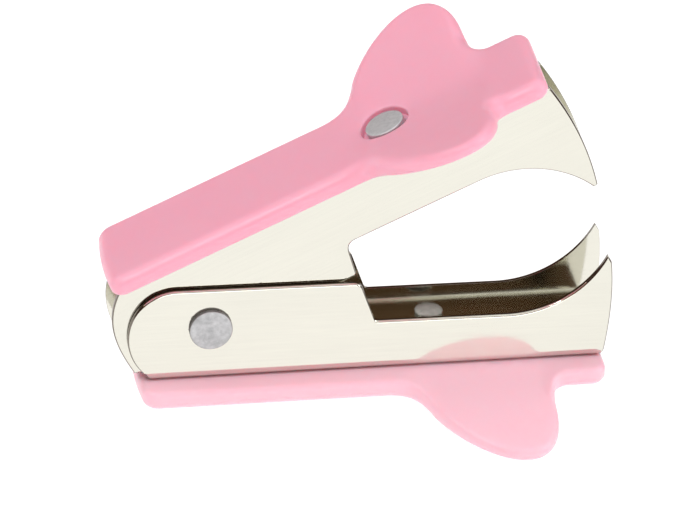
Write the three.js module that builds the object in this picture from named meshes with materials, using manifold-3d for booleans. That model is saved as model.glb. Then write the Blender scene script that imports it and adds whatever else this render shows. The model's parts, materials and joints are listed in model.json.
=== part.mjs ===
// Jaw staple remover: two nested steel channel jaws on one pivot rivet, held open by a torsion
// spring, each with a moulded grip that spreads into two wings. Millimetres, +Z up, +X towards the
// fangs, +Y along the pivot. It stands on the rear end and the two wing tips of its lower grip, and
// the origin is the centre of the bottom of its bounding box.
//
// Each jaw is drawn in its own frame: origin on the pivot axis, +X forward, the web level.

import * as THREE from 'three';
import { mergeVertices } from 'three/addons/utils/BufferGeometryUtils.js';
import Module from 'manifold-3d';

const wasm = await Module();
wasm.setup();

// ---------- driving dimensions ----------

const OPEN_ANGLE = THREE.MathUtils.degToRad(26); // between the two webs when the jaws are open
const SHEET = 0.55; // steel thickness of both jaws
const BEND_RADIUS = 0.9; // outside of the bend between web and cheek
const CONTACT_GAP = 0.05; // between pieces that rest on each other
const STOP_GAP = 0.12; // between the upper jaw's heel and the lower web when the jaws are open
const LEG_GAP = 0.15; // between a spring leg's end and the web it presses on

const LOWER_WIDTH = 7.2; // over the cheeks of the outer jaw
const LOWER_WEB = -5.7; // outer face of its web, below the pivot
const LOWER_LEAN = THREE.MathUtils.degToRad(0.45); // its web rises this much towards the fangs
const LOWER_TOP = 4.2; // top edge of its cheeks around the pivot
const LOWER_EDGE = -0.16; // upper edge of its cheeks ahead of the notch

const UPPER_WIDTH = 5.85; // over the cheeks of the inner jaw
const UPPER_WEB = 8.4; // outer face of its web, above the pivot
const UPPER_EDGE = 1.65; // lower edge of its cheeks ahead of the step
const UPPER_HEEL = -2.03; // lower edge of its cheeks behind the step

const LOWER_FANG_START = 29.45; // where the fang's curve leaves the straight edge
const UPPER_FANG_START = 29.82;
const FANG_REACH = 9.82; // from there forward to the inner corner of its blunt tip
const FANG_RADIUS = 10.95;
const FANG_TIP_WIDTH = 0.42;
const LOWER_TIP_SLANT = 0.75; // how much lower the outer corner of the tip is
const UPPER_TIP_SLANT = 0.1;

const UPPER_PAD_THICKNESS = 1.95;
const LOWER_PAD_THICKNESS = 2.25;
const PAD_HALF_WIDTH = 5.8;
const UPPER_PAD_REAR = -6.87;
const LOWER_PAD_REAR = -6.45;
const PAD_REAR_BULGE = 0.24; // the rear end is slightly bowed
const PAD_REAR_CORNER = 1.6;
const PAD_FRONT = 40.0;
const PAD_FRONT_CORNER = 1.4;
const PAD_ROUND = 1.1; // rounding between the grip's face and its sides
const LOWER_PAD_SHIFT = -0.6; // the lower grip sits this much further back than the upper one
const WING_HALF_SPAN = 15.0;
const WING_SLOPE = 0.19; // how fast a wing leaves the plane of the grip
const WING_ROOT = 1.2; // distance from the centre line where it starts to do so
const WING_ROOT_THICKNESS = 2.3;
const WING_TIP_THICKNESS = 1.4;

const PAD_RIVET_X = 24.0;
const RIVET_HEAD_R = 1.98;
const RIVET_HEAD_RISE = 0.18;
const RIVET_SHANK_R = 1.0;
const RIVET_HOLE_R = 1.05;
const RIVET_TAIL_R = 1.4;
const RIVET_TAIL_HEIGHT = 0.5;
const RECESS_R = 2.5;
const RECESS_DEPTH = 0.75;

const PIVOT_HEAD_R = 2.12;
const PIVOT_HEAD_HEIGHT = 0.5;
const PIVOT_NECK_R = 1.2; // through the outer cheeks
const PIVOT_SHOULDER_R = 1.6; // the running surface inside the inner cheeks
const NECK_CLEARANCE = 0.05;
const RUNNING_CLEARANCE = 0.06;

const WIRE_R = 0.35;
const COIL_R = 2.5;
const COIL_PITCH = 0.78;
const LOWER_LEG_SLOPE = THREE.MathUtils.degToRad(10); // down towards the lower web
const UPPER_LEG_SLOPE = THREE.MathUtils.degToRad(30); // up towards the upper web

const ROUND_SEGMENTS = 32;

// ---------- materials ----------

const steel = new THREE.MeshStandardMaterial({ color: 0xe6e2d4, metalness: 1, roughness: 0.28 });
const plastic = new THREE.MeshStandardMaterial({ color: 0xf4aec2, metalness: 0, roughness: 0.38 });
const aluminium = new THREE.MeshStandardMaterial({ color: 0xb4b7b9, metalness: 1, roughness: 0.5 });
const springSteel = new THREE.MeshStandardMaterial({ color: 0x9c9a95, metalness: 1, roughness: 0.3 });

// ---------- solids ----------

function solidOf(geometry) {
  const plain = geometry.clone();
  plain.deleteAttribute('normal');
  plain.deleteAttribute('uv');
  const merged = mergeVertices(plain, 1e-4);
  return new wasm.Manifold(new wasm.Mesh({
    numProp: 3,
    vertProperties: new Float32Array(merged.attributes.position.array),
    triVerts: new Uint32Array(merged.index.array),
  }));
}

function geometryOf(solid) {
  const mesh = solid.getMesh();
  const geometry = new THREE.BufferGeometry();
  geometry.setAttribute('position', new THREE.BufferAttribute(mesh.vertProperties, 3));
  geometry.setIndex(new THREE.BufferAttribute(mesh.triVerts, 1));
  geometry.computeVertexNormals();
  return geometry;
}

// A side view (x, z) made into a slab of the given width, centred on y = 0.
function slabOfSideView(outline, width) {
  const slab = new THREE.ExtrudeGeometry(outline, { depth: width, bevelEnabled: false, curveSegments: 10 });
  slab.rotateX(Math.PI / 2);
  slab.translate(0, width / 2, 0);
  return slab;
}

// A cross-section (y, z) run along x.
function barOfSection(section, fromX, toX) {
  const bar = new THREE.ExtrudeGeometry(section, {
    depth: toX - fromX,
    bevelEnabled: false,
    curveSegments: 5,
  });
  const [alongX, alongY, alongZ] = [0, 1, 2].map((axis) => new THREE.Vector3().setComponent(axis, 1));
  bar.applyMatrix4(new THREE.Matrix4().makeBasis(alongY, alongZ, alongX));
  bar.translate(fromX, 0, 0);
  return bar;
}

function cylinderAlongZ(radius, fromZ, toZ, x) {
  const cylinder = new THREE.CylinderGeometry(radius, radius, toZ - fromZ, ROUND_SEGMENTS);
  cylinder.rotateX(Math.PI / 2);
  cylinder.translate(x, 0, (fromZ + toZ) / 2);
  return cylinder;
}

function cylinderAlongY(radius, length) {
  return new THREE.CylinderGeometry(radius, radius, length, ROUND_SEGMENTS);
}

// ---------- jaws ----------

// The folded sheet's cross-section: a web and two cheeks. side is -1 for a web below the pivot
// and 1 for a web above it.
function channelSection(width, web, side) {
  const half = width / 2;
  const openEnd = -side * 12;
  const bendZ = web - side * BEND_RADIUS;
  const bendY = half - BEND_RADIUS;
  const inner = BEND_RADIUS - SHEET;
  const turn = side * Math.PI / 2;
  const clockwise = side > 0;
  const section = new THREE.Shape();
  section.moveTo(-half, openEnd);
  section.lineTo(-half, bendZ);
  section.absarc(-bendY, bendZ, BEND_RADIUS, Math.PI, turn, clockwise);
  section.absarc(bendY, bendZ, BEND_RADIUS, turn, 0, clockwise);
  section.lineTo(half, openEnd);
  section.lineTo(half - SHEET, openEnd);
  section.absarc(bendY, bendZ, inner, 0, turn, !clockwise);
  section.absarc(-bendY, bendZ, inner, turn, Math.PI, !clockwise);
  section.lineTo(-half + SHEET, openEnd);
  section.closePath();
  return section;
}

function lowerSideView() {
  const rearCentreX = -3.3;
  const notchTop = 14.72;
  const notchFoot = 16.34;
  const tip = fangPoint(LOWER_FANG_START, LOWER_EDGE, 1, FANG_REACH);
  const view = new THREE.Shape();
  view.moveTo(39.1, LOWER_WEB - 1);
  view.quadraticCurveTo(40.35, 0.2, tip.x + FANG_TIP_WIDTH, tip.y - LOWER_TIP_SLANT);
  addFangCurve(view, LOWER_FANG_START, LOWER_EDGE, 1);
  view.lineTo(notchFoot + 0.45, LOWER_EDGE);
  view.quadraticCurveTo(notchFoot, LOWER_EDGE, notchFoot - 0.15, LOWER_EDGE + 0.4);
  view.lineTo(notchTop + 0.22, LOWER_TOP - 0.6);
  view.quadraticCurveTo(notchTop, LOWER_TOP, notchTop - 0.7, LOWER_TOP);
  view.lineTo(rearCentreX, LOWER_TOP);
  view.bezierCurveTo(-5.95, LOWER_TOP, -8.12, 2.05, -8.12, -0.9);
  view.bezierCurveTo(-8.12, -2.6, -7.3, -4.2, -6.3, -5.0);
  view.lineTo(-5.4, LOWER_WEB - 1);
  view.closePath();
  return view;
}

// The inner jaw's cheek runs back past the pivot into a round heel. Its lowest corner is the stop:
// it rests on the outer jaw's web when the jaws are fully open.
function upperSideView() {
  const stopRear = stopPoint(-7.35);
  const stopFront = stopPoint(-3.6);
  const step = 15.24;
  const tip = fangPoint(UPPER_FANG_START, UPPER_EDGE, -1, FANG_REACH);
  const view = new THREE.Shape();
  view.moveTo(39.89, UPPER_WEB);
  view.quadraticCurveTo(41.3, 1.85, tip.x + FANG_TIP_WIDTH, tip.y + UPPER_TIP_SLANT);
  addFangCurve(view, UPPER_FANG_START, UPPER_EDGE, -1);
  view.lineTo(step + 1.3, UPPER_EDGE);
  view.quadraticCurveTo(step + 0.35, UPPER_EDGE, step + 0.2, UPPER_EDGE - 1.0);
  view.lineTo(step - 0.15, UPPER_HEEL + 0.35);
  view.quadraticCurveTo(step - 0.2, UPPER_HEEL, step - 0.6, UPPER_HEEL);
  view.lineTo(stopFront.x, stopFront.y);
  view.lineTo(stopRear.x, stopRear.y);
  view.bezierCurveTo(-9.21, 2.17, -9.06, 5.27, -6.16, 7.67);
  view.lineTo(-5.5, UPPER_WEB);
  view.closePath();
  return view;
}

// A point of a fang's concave edge, that far ahead of its start; side is 1 for a fang that points up
// and -1 for one that points down.
function fangPoint(start, edge, side, along) {
  const rise = FANG_RADIUS - Math.sqrt(FANG_RADIUS ** 2 - along ** 2);
  return new THREE.Vector2(start + along, edge + side * rise);
}

// The whole concave edge, from the tip back to the straight edge.
function addFangCurve(view, start, edge, side) {
  const steps = 9;
  for (let i = 0; i <= steps; i += 1) {
    const point = fangPoint(start, edge, side, FANG_REACH * (1 - i / steps));
    view.lineTo(point.x, point.y);
  }
}

// A point just above the inside of the lower web, seen in the open upper jaw's frame.
function stopPoint(x) {
  const z = LOWER_WEB + SHEET + STOP_GAP + x * Math.tan(LOWER_LEAN);
  return new THREE.Vector2(x, z).rotateAround(new THREE.Vector2(0, 0), -OPEN_ANGLE);
}

function jaw({ sideView, width, web, side, lean, pivotHoleR, rivetX }) {
  const bar = barOfSection(channelSection(width, web, side), -20, 50);
  const rivetHole = cylinderAlongZ(RIVET_HOLE_R, web - 2, web + 2, rivetX);
  bar.rotateY(-lean);
  rivetHole.rotateY(-lean);
  const slab = solidOf(slabOfSideView(sideView, width + 2));
  const pivotHole = solidOf(cylinderAlongY(pivotHoleR, width + 2));
  return geometryOf(solidOf(bar).intersect(slab).subtract(pivotHole).subtract(solidOf(rivetHole)));
}

// ---------- grips ----------

// The grip's own frame: x as in its jaw, z = 0 on the face that lies on the web, +z outward.

// Outline of a wing on the +y side: out along its rear edge, round the tip, back to the tab.
const wingRearFillet = new THREE.CubicBezierCurve(
  new THREE.Vector2(19.4, PAD_HALF_WIDTH),
  new THREE.Vector2(21.1, PAD_HALF_WIDTH),
  new THREE.Vector2(21.6, 7.4),
  new THREE.Vector2(22.5, 8.9),
);
const wingRear = new THREE.CubicBezierCurve(
  new THREE.Vector2(22.5, 8.9),
  new THREE.Vector2(24.1, 11.6),
  new THREE.Vector2(27.5, WING_HALF_SPAN),
  new THREE.Vector2(30.6, WING_HALF_SPAN),
);
const wingTip = new THREE.CubicBezierCurve(
  new THREE.Vector2(30.6, WING_HALF_SPAN),
  new THREE.Vector2(33.2, WING_HALF_SPAN),
  new THREE.Vector2(34.3, 12.4),
  new THREE.Vector2(34.3, 9.6),
);
const wingFrontFillet = new THREE.CubicBezierCurve(
  new THREE.Vector2(34.3, 9.6),
  new THREE.Vector2(34.3, 7.4),
  new THREE.Vector2(34.3, PAD_HALF_WIDTH),
  new THREE.Vector2(35.8, PAD_HALF_WIDTH),
);

// Where a curve that climbs or falls steadily in y passes the given y.
function xAtY(curve, y) {
  const rising = curve.v3.y > curve.v0.y;
  let low = 0;
  let high = 1;
  for (let i = 0; i < 30; i += 1) {
    const middle = (low + high) / 2;
    if ((curve.getPoint(middle).y < y) === rising) {
      low = middle;
    } else {
      high = middle;
    }
  }
  return curve.getPoint(low).x;
}

function wingRise(y) {
  return WING_SLOPE * (y - WING_ROOT);
}

// One cross-section of a wing at distance y from the centre line, as [x, z] corners.
function wingSection(y, padThickness) {
  const inBody = y < PAD_HALF_WIDTH;
  const rearCurve = y < wingRear.v0.y ? wingRearFillet : wingRear;
  const frontCurve = y < wingTip.v3.y ? wingFrontFillet : wingTip;
  const rear = inBody ? 20 : xAtY(rearCurve, y);
  const front = inBody ? 34.5 : xAtY(frontCurve, y);
  const outward = Math.max(0, (y - PAD_HALF_WIDTH) / (WING_HALF_SPAN - PAD_HALF_WIDTH));
  const thickness = THREE.MathUtils.lerp(WING_ROOT_THICKNESS, WING_TIP_THICKNESS, outward);
  const top = padThickness + wingRise(y);
  const bottom = Math.max(0.3, top - thickness);
  const crown = Math.min(0.8, 0.45 * (top - bottom), 0.3 * (front - rear));
  const foot = crown / 3;
  return [
    [rear, top - crown],
    [rear + foot, bottom],
    [front - foot, bottom],
    [front, top - crown],
    [front - crown * 0.4, top - crown * 0.4],
    [front - crown, top],
    [rear + crown, top],
    [rear + crown * 0.4, top - crown * 0.4],
  ];
}

// A closed skin over a row of sections with equal corner counts, each [y, corners].
function loft(sections) {
  const corners = sections[0][1].length;
  const positions = [];
  for (const [y, outline] of sections) {
    for (const [x, z] of outline) {
      positions.push(x, y, z);
    }
  }
  const index = [];
  for (let i = 0; i + 1 < sections.length; i += 1) {
    for (let j = 0; j < corners; j += 1) {
      const a = i * corners + j;
      const b = i * corners + ((j + 1) % corners);
      index.push(a, a + corners, b, b, a + corners, b + corners);
    }
  }
  const last = (sections.length - 1) * corners;
  for (let j = 1; j + 1 < corners; j += 1) {
    index.push(0, j, j + 1);
    index.push(last, last + j + 1, last + j);
  }
  const skin = new THREE.BufferGeometry();
  skin.setAttribute('position', new THREE.Float32BufferAttribute(positions, 3));
  skin.setIndex(index);
  return skin;
}

function wing(padThickness) {
  const stations = [1.0, 5.7, 6.1, 7.0, 8.2, 9.6, 11.2, 12.6, 13.8, 14.6, 14.97];
  return loft(stations.map((y) => [y, wingSection(y, padThickness)]));
}

// The strip and its front tab: a bar with rounded corners and a rounded outer face.
function gripBar(rear, thickness) {
  const corner = PAD_FRONT_CORNER;
  const rearCorner = PAD_REAR_CORNER;
  const half = PAD_HALF_WIDTH;
  const bowStart = rear + PAD_REAR_BULGE;
  const plan = new THREE.Shape();
  plan.moveTo(bowStart + rearCorner, -half);
  plan.lineTo(PAD_FRONT - corner, -half);
  plan.absarc(PAD_FRONT - corner, -half + corner, corner, -Math.PI / 2, 0);
  plan.absarc(PAD_FRONT - corner, half - corner, corner, 0, Math.PI / 2);
  plan.absarc(bowStart + rearCorner, half - rearCorner, rearCorner, Math.PI / 2, Math.PI);
  plan.quadraticCurveTo(rear - PAD_REAR_BULGE, 0, bowStart, -half + rearCorner);
  plan.absarc(bowStart + rearCorner, -half + rearCorner, rearCorner, Math.PI, Math.PI * 1.5);
  const bar = new THREE.ExtrudeGeometry(plan, {
    depth: 2 * (thickness - PAD_ROUND),
    bevelSize: PAD_ROUND,
    bevelThickness: PAD_ROUND,
    bevelOffset: -PAD_ROUND,
    bevelSegments: 3,
    curveSegments: 4,
  });
  bar.translate(0, 0, PAD_ROUND - thickness);
  const outerHalf = new THREE.BoxGeometry(100, 100, 10);
  outerHalf.translate(20, 0, 5);
  return solidOf(bar).intersect(solidOf(outerHalf));
}

function grip(rear, thickness) {
  const oneWing = solidOf(wing(thickness));
  const otherWing = oneWing.mirror([0, 1, 0]);
  const recess = cylinderAlongZ(RECESS_R, thickness - RECESS_DEPTH, 10, PAD_RIVET_X);
  const hole = cylinderAlongZ(RIVET_HOLE_R, -1, 3, PAD_RIVET_X);
  const moulding = gripBar(rear, thickness).add(oneWing).add(otherWing);
  return geometryOf(moulding.subtract(solidOf(recess)).subtract(solidOf(hole)));
}

// ---------- rivets ----------

// Turned about its own axis; the profile is [radius, height] from the tail to the head.
function turned(profile) {
  return new THREE.LatheGeometry(profile.map(([r, h]) => new THREE.Vector2(r, h)), ROUND_SEGMENTS);
}

// In the grip's frame, along z: the head sits in the recess, the peened tail is inside the jaw.
function padRivet(padThickness) {
  const seat = padThickness - RECESS_DEPTH + CONTACT_GAP;
  const head = padThickness + RIVET_HEAD_RISE;
  const tail = -2 * CONTACT_GAP - SHEET;
  const rivet = turned([
    [0, tail - RIVET_TAIL_HEIGHT],
    [0.7 * RIVET_TAIL_R, tail - 0.82 * RIVET_TAIL_HEIGHT],
    [RIVET_TAIL_R, tail - 0.35 * RIVET_TAIL_HEIGHT],
    [0.93 * RIVET_TAIL_R, tail],
    [RIVET_SHANK_R, tail],
    [RIVET_SHANK_R, seat],
    [RIVET_HEAD_R, seat],
    [RIVET_HEAD_R, head - 0.18],
    [RIVET_HEAD_R - 0.18, head - 0.04],
    [0, head],
  ]);
  rivet.rotateX(Math.PI / 2);
  rivet.translate(PAD_RIVET_X, 0, 0);
  return rivet;
}

// Along y: a shoulder between the outer cheeks, a neck through each, and a flat head over both.
function pivotRivet() {
  const shoulder = LOWER_WIDTH / 2 - SHEET - CONTACT_GAP;
  const seat = LOWER_WIDTH / 2 + CONTACT_GAP;
  const end = seat + PIVOT_HEAD_HEIGHT;
  const half = [
    [PIVOT_SHOULDER_R, shoulder],
    [PIVOT_NECK_R, shoulder],
    [PIVOT_NECK_R, seat],
    [PIVOT_HEAD_R, seat],
    [PIVOT_HEAD_R, end - 0.15],
    [PIVOT_HEAD_R - 0.15, end],
    [0, end],
  ];
  const mirrored = half.map(([r, h]) => [r, -h]).reverse();
  return turned([...mirrored, ...half]);
}

// ---------- spring ----------

// Lower leg, coil and upper leg as one wire. The coil turns about y; angle 0 is +x and 90 degrees
// is +z. Each leg leaves the coil along its tangent and reaches the inside of its jaw's web.
class SpringWire extends THREE.Curve {
  constructor() {
    super();
    const upperSlope = UPPER_LEG_SLOPE + OPEN_ANGLE;
    this.startAngle = -Math.PI / 2 - LOWER_LEG_SLOPE;
    this.endAngle = Math.PI / 2 + upperSlope - 8 * Math.PI;
    this.turnAngle = this.startAngle - this.endAngle;
    this.halfCoil = COIL_PITCH * this.turnAngle / (4 * Math.PI);
    const lowerReach = -LOWER_WEB - SHEET - WIRE_R - LEG_GAP;
    const upperReach = UPPER_WEB - SHEET - WIRE_R - LEG_GAP;
    this.lowerLeg = (lowerReach - COIL_R * Math.cos(LOWER_LEG_SLOPE)) / Math.sin(LOWER_LEG_SLOPE);
    this.upperLeg = (upperReach - COIL_R * Math.cos(UPPER_LEG_SLOPE)) / Math.sin(UPPER_LEG_SLOPE);
    this.lowerWay = new THREE.Vector3(Math.cos(LOWER_LEG_SLOPE), 0, -Math.sin(LOWER_LEG_SLOPE));
    this.upperWay = new THREE.Vector3(Math.cos(upperSlope), 0, Math.sin(upperSlope));
    this.coilLength = COIL_R * this.turnAngle;
    this.wireLength = this.lowerLeg + this.coilLength + this.upperLeg;
  }

  onCoil(share) {
    const angle = this.startAngle - share * this.turnAngle;
    const y = THREE.MathUtils.lerp(-this.halfCoil, this.halfCoil, share);
    return new THREE.Vector3(COIL_R * Math.cos(angle), y, COIL_R * Math.sin(angle));
  }

  getPoint(t, target = new THREE.Vector3()) {
    const along = t * this.wireLength;
    const past = along - this.lowerLeg;
    if (past < 0) {
      return target.copy(this.onCoil(0)).addScaledVector(this.lowerWay, -past);
    }
    if (past > this.coilLength) {
      return target.copy(this.onCoil(1)).addScaledVector(this.upperWay, past - this.coilLength);
    }
    return target.copy(this.onCoil(past / this.coilLength));
  }
}

function torsionSpring() {
  const sides = 8;
  const section = new THREE.Shape();
  for (let i = 0; i < sides; i += 1) {
    const angle = 2 * Math.PI * i / sides;
    section[i === 0 ? 'moveTo' : 'lineTo'](WIRE_R * Math.cos(angle), WIRE_R * Math.sin(angle));
  }
  section.closePath();
  return new THREE.ExtrudeGeometry(section, { steps: 110, extrudePath: new SpringWire() });
}

// ---------- assembly ----------

function named(name, geometry, material) {
  const mesh = new THREE.Mesh(geometry, material);
  mesh.name = name;
  return mesh;
}

const lowerSide = new THREE.Group();
const upperSide = new THREE.Group();
upperSide.rotation.y = -OPEN_ANGLE;
lowerSide.add(upperSide);

const lowerJaw = jaw({
  sideView: lowerSideView(),
  width: LOWER_WIDTH,
  web: LOWER_WEB,
  side: -1,
  lean: LOWER_LEAN,
  pivotHoleR: PIVOT_NECK_R + NECK_CLEARANCE,
  rivetX: PAD_RIVET_X + LOWER_PAD_SHIFT,
});
const upperJaw = jaw({
  sideView: upperSideView(),
  width: UPPER_WIDTH,
  web: UPPER_WEB,
  side: 1,
  lean: 0,
  pivotHoleR: PIVOT_SHOULDER_R + RUNNING_CLEARANCE,
  rivetX: PAD_RIVET_X,
});
lowerSide.add(named('lower_jaw', lowerJaw, steel));
upperSide.add(named('upper_jaw', upperJaw, steel));

// The two grips have the same plan but for their rear ends, and the lower one is a little thicker and
// is turned over about the x axis.
const upperGripGeometry = grip(UPPER_PAD_REAR, UPPER_PAD_THICKNESS);
const lowerGripGeometry = grip(LOWER_PAD_REAR, LOWER_PAD_THICKNESS);
const upperGrip = new THREE.Group();
upperGrip.position.z = UPPER_WEB + CONTACT_GAP;
upperGrip.add(named('upper_pad', upperGripGeometry, plastic));
upperGrip.add(named('upper_pad_rivet', padRivet(UPPER_PAD_THICKNESS), aluminium));
upperSide.add(upperGrip);

const lowerGrip = new THREE.Group();
lowerGrip.position.set(LOWER_PAD_SHIFT, 0, LOWER_WEB - CONTACT_GAP);
lowerGrip.rotation.x = Math.PI;
lowerGrip.add(named('lower_pad', lowerGripGeometry, plastic));
lowerGrip.add(named('lower_pad_rivet', padRivet(LOWER_PAD_THICKNESS), aluminium));
const lean = new THREE.Group();
lean.rotation.y = -LOWER_LEAN;
lean.add(lowerGrip);
lowerSide.add(lean);

lowerSide.add(named('pivot_rivet', pivotRivet(), aluminium));
lowerSide.add(named('torsion_spring', torsionSpring(), springSteel));

// Nose-up tilt of the lower grip at which its rear end and its wing tips touch the ground together.
function standingTilt() {
  const points = lowerGripGeometry.attributes.position;
  let low = 0;
  let high = 0.3;
  for (let i = 0; i < 40; i += 1) {
    const tilt = (low + high) / 2;
    let rearDepth = -Infinity;
    let wingDepth = -Infinity;
    for (let p = 0; p < points.count; p += 1) {
      const depth = points.getZ(p) * Math.cos(tilt) - points.getX(p) * Math.sin(tilt);
      if (points.getX(p) < 0) {
        rearDepth = Math.max(rearDepth, depth);
      } else {
        wingDepth = Math.max(wingDepth, depth);
      }
    }
    if (wingDepth > rearDepth) {
      low = tilt;
    } else {
      high = tilt;
    }
  }
  return low;
}

const stapleRemover = new THREE.Group();
stapleRemover.add(lowerSide);
lowerSide.rotation.y = LOWER_LEAN - standingTilt();
stapleRemover.updateMatrixWorld(true);
const bounds = new THREE.Box3().setFromObject(stapleRemover, true);
const centre = bounds.getCenter(new THREE.Vector3());
lowerSide.position.set(-centre.x, -centre.y, -bounds.min.z);

export default stapleRemover;
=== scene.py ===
"""Looks of the jaw staple remover: fine meshes, materials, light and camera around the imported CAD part.

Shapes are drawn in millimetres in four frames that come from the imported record, and are placed by
their matrices. LOWER and UPPER have their origin on the pivot, +X towards the fangs and the web level.
LOWER_GRIP and UPPER_GRIP have z = 0 on the face that lies on the web and +z outward.
"""

import functools
import json
import math

import bmesh
import bpy
import numpy as np
from mathutils import Matrix, Vector
from mathutils.geometry import tessellate_polygon


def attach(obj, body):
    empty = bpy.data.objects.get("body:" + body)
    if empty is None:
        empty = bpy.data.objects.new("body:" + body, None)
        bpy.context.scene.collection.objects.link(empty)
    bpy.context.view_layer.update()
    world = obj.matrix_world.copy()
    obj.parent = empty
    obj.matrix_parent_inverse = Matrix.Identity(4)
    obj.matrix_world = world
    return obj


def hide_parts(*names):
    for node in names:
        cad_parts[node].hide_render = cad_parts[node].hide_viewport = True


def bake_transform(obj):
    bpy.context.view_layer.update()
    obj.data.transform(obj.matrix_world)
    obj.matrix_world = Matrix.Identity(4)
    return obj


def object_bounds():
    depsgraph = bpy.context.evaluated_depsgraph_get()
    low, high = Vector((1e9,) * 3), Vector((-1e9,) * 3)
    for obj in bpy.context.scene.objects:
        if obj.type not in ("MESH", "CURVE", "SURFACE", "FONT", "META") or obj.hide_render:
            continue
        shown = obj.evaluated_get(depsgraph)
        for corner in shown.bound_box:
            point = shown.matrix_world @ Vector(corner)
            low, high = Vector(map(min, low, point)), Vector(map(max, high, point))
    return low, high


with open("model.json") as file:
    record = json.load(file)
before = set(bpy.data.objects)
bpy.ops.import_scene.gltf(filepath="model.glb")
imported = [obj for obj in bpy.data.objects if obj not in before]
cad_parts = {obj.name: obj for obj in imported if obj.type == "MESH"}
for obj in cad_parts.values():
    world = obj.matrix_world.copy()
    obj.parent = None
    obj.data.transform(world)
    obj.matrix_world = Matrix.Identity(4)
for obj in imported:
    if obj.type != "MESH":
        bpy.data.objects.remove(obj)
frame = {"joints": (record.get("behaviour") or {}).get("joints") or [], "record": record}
cad_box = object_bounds()

# ---------- driving dimensions, in millimetres, as in the CAD part ----------

MM = 0.001

SHEET = 0.55
BEND_RADIUS = 0.9
CONTACT_GAP = 0.05
STOP_GAP = 0.12

LOWER_WIDTH = 7.2
LOWER_WEB = -5.7
LOWER_LEAN = math.radians(0.45)
LOWER_TOP = 4.2
LOWER_EDGE = -0.16

UPPER_WIDTH = 5.85
UPPER_WEB = 8.4
UPPER_EDGE = 1.65
UPPER_HEEL = -2.03

LOWER_FANG_START = 29.45
UPPER_FANG_START = 29.82
FANG_REACH = 9.82
FANG_RADIUS = 10.95
FANG_TIP_WIDTH = 0.42
LOWER_TIP_SLANT = 0.75
UPPER_TIP_SLANT = 0.1

PAD_THICKNESS = {"upper": 1.95, "lower": 2.25}
PAD_HALF_WIDTH = 5.8
PAD_REAR = {"upper": -6.87, "lower": -6.45}
PAD_REAR_BULGE = 0.24
PAD_REAR_CORNER = 1.6
PAD_FRONT = 40.0
PAD_FRONT_CORNER = 1.4
PAD_ROUND = 1.1
LOWER_PAD_SHIFT = -0.6
WING_HALF_SPAN = 15.0
WING_SLOPE = 0.19
WING_ROOT = 1.2
WING_ROOT_THICKNESS = 2.3
WING_TIP_THICKNESS = 1.4
WING_ROUND = 0.75

PAD_RIVET_X = 24.0
RIVET_HEAD_R = 1.98
RIVET_HEAD_RISE = 0.18
RIVET_SHANK_R = 1.0
RIVET_HOLE_R = 1.05
RIVET_TAIL_R = 1.4
RIVET_TAIL_HEIGHT = 0.5
RECESS_R = 2.5
RECESS_DEPTH = 0.75

PIVOT_HEAD_R = 2.12
PIVOT_HEAD_HEIGHT = 0.5
PIVOT_NECK_R = 1.2
PIVOT_SHOULDER_R = 1.6
NECK_CLEARANCE = 0.05
RUNNING_CLEARANCE = 0.06

WIRE_R = 0.35
COIL_R = 2.5
COIL_PITCH = 0.78
LOWER_LEG_SLOPE = math.radians(10)
UPPER_LEG_SLOPE = math.radians(30)
LEG_GAP = 0.15

# ---------- frames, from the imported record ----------

joint = frame["joints"][0]
mount_axis = {m["name"]: Vector(m["axis"]) for m in frame["record"]["mounts"]}
lower_axis = mount_axis["lower_grip_face"]
upper_axis = mount_axis["upper_grip_face"]

LOWER_GRIP_TILT = math.atan2(lower_axis.x, -lower_axis.z)
LOWER_TILT = LOWER_GRIP_TILT - LOWER_LEAN
UPPER_TILT = math.atan2(-upper_axis.x, upper_axis.z)
OPEN_ANGLE = UPPER_TILT - LOWER_TILT

PIVOT = Vector(joint["pos_m"])
AT_PIVOT = Matrix.Translation(PIVOT) @ Matrix.Scale(MM, 4)


def nose_up(angle):
    return Matrix.Rotation(-angle, 4, "Y")


LOWER = AT_PIVOT @ nose_up(LOWER_TILT)
LOWER_SHEET = AT_PIVOT @ nose_up(LOWER_GRIP_TILT)
UPPER = AT_PIVOT @ nose_up(UPPER_TILT)
LOWER_GRIP = (
    LOWER_SHEET
    @ Matrix.Translation((LOWER_PAD_SHIFT, 0, LOWER_WEB - CONTACT_GAP))
    @ Matrix.Rotation(math.pi, 4, "X")
)
UPPER_GRIP = UPPER @ Matrix.Translation((0, 0, UPPER_WEB + CONTACT_GAP))

# ---------- plane curves: every function gives a list of 2-D points ----------


def line(start, end, step=0.4):
    count = max(1, math.ceil(math.dist(start, end) / step))
    return [tuple(np.array(start) + (np.array(end) - start) * i / count) for i in range(count + 1)]


def bezier(*corners, count=24):
    """A Bezier curve of any degree through its first and last corner."""
    points = []
    for i in range(count + 1):
        level = [np.array(c, float) for c in corners]
        while len(level) > 1:
            level = [a + (b - a) * i / count for a, b in zip(level, level[1:])]
        points.append(tuple(level[0]))
    return points


def arc(centre, radius, start_degrees, end_degrees, count=12):
    angles = np.radians(np.linspace(start_degrees, end_degrees, count + 1))
    return [(centre[0] + radius * math.cos(a), centre[1] + radius * math.sin(a)) for a in angles]


def joined(*stretches):
    """One run of points without the doubled ones where stretches meet."""
    points = []
    for point in (p for stretch in stretches for p in stretch):
        if not points or math.dist(points[-1], point) > 1e-4:
            points.append(point)
    return points


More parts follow.
